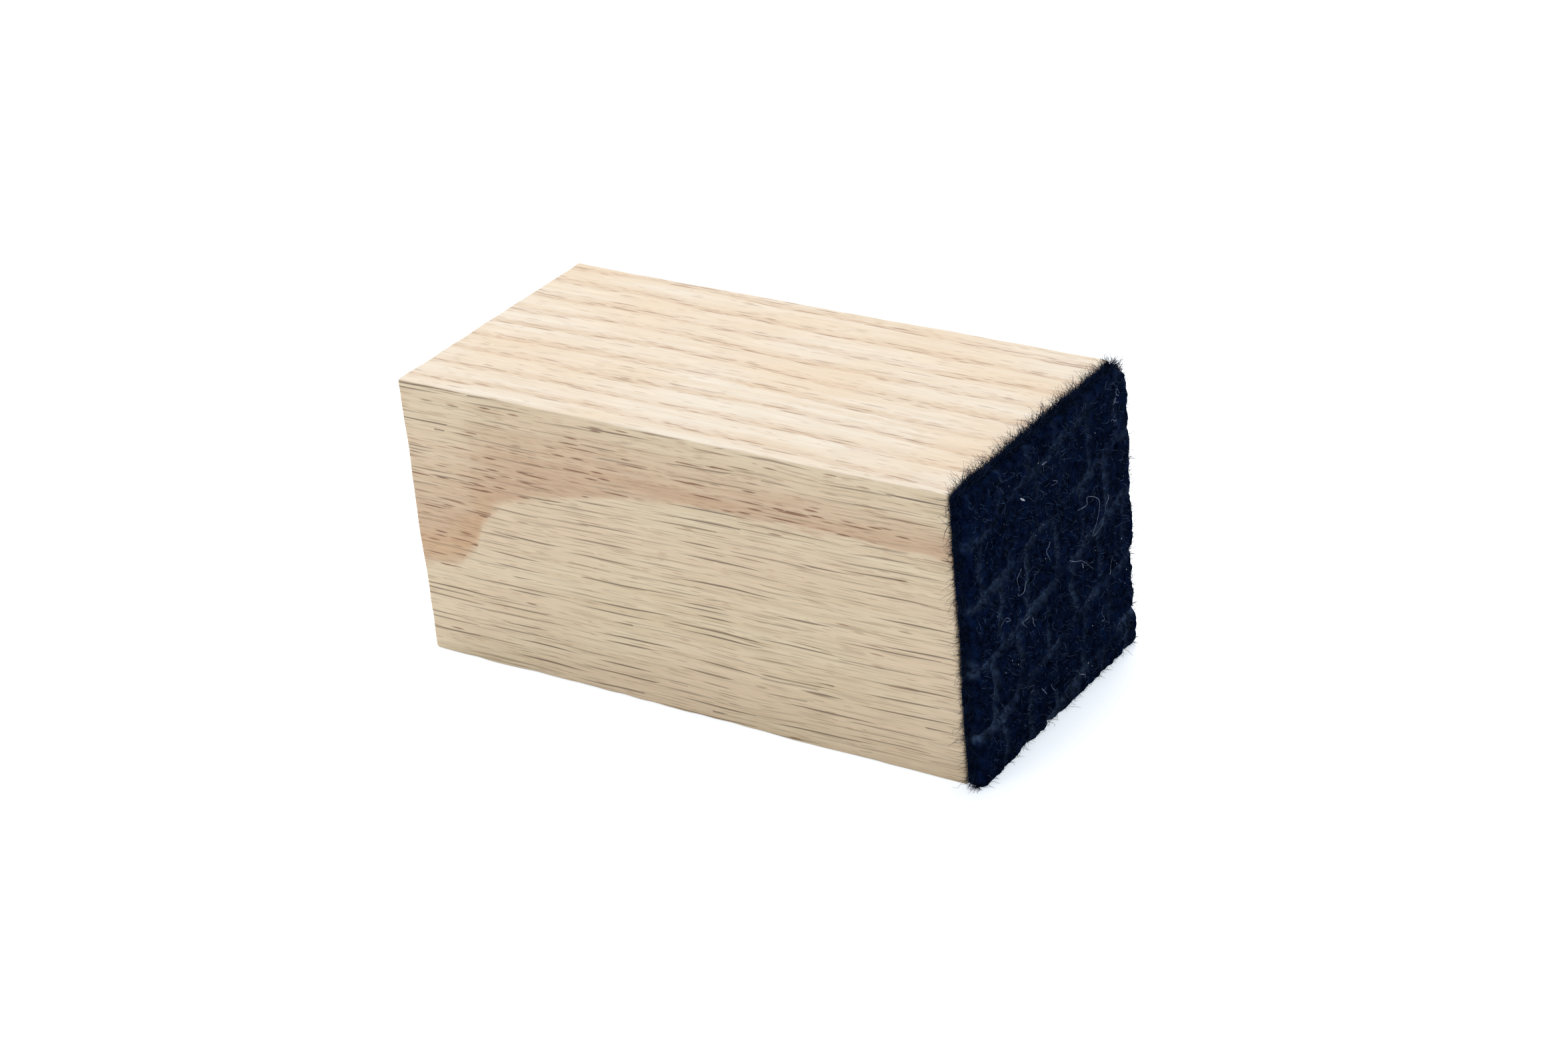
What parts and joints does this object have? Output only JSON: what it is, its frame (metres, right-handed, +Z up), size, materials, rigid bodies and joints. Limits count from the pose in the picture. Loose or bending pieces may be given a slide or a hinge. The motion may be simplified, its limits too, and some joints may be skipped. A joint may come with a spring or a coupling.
{
  "type": "chalkboard eraser",
  "caption": "Square hardwood bar with a felt pad glued over one end, held in the hand to wipe chalk from a board or slate.",
  "frame": {"origin": "centre of the whole eraser's footprint, on the face it rests on", "axes": "+X along the bar towards the felt pad, +Y to the back, +Z up"},
  "size_m": [0.0784, 0.0376, 0.037],
  "materials": {
    "oak": "bare sanded wood",
    "glue": "dried wood glue",
    "felt": "napped wool felt"
  },
  "bodies": {
    "root": {"oak_block": "oak", "glue_film": "glue", "felt_pad": "felt"}
  },
  "joints": []
}
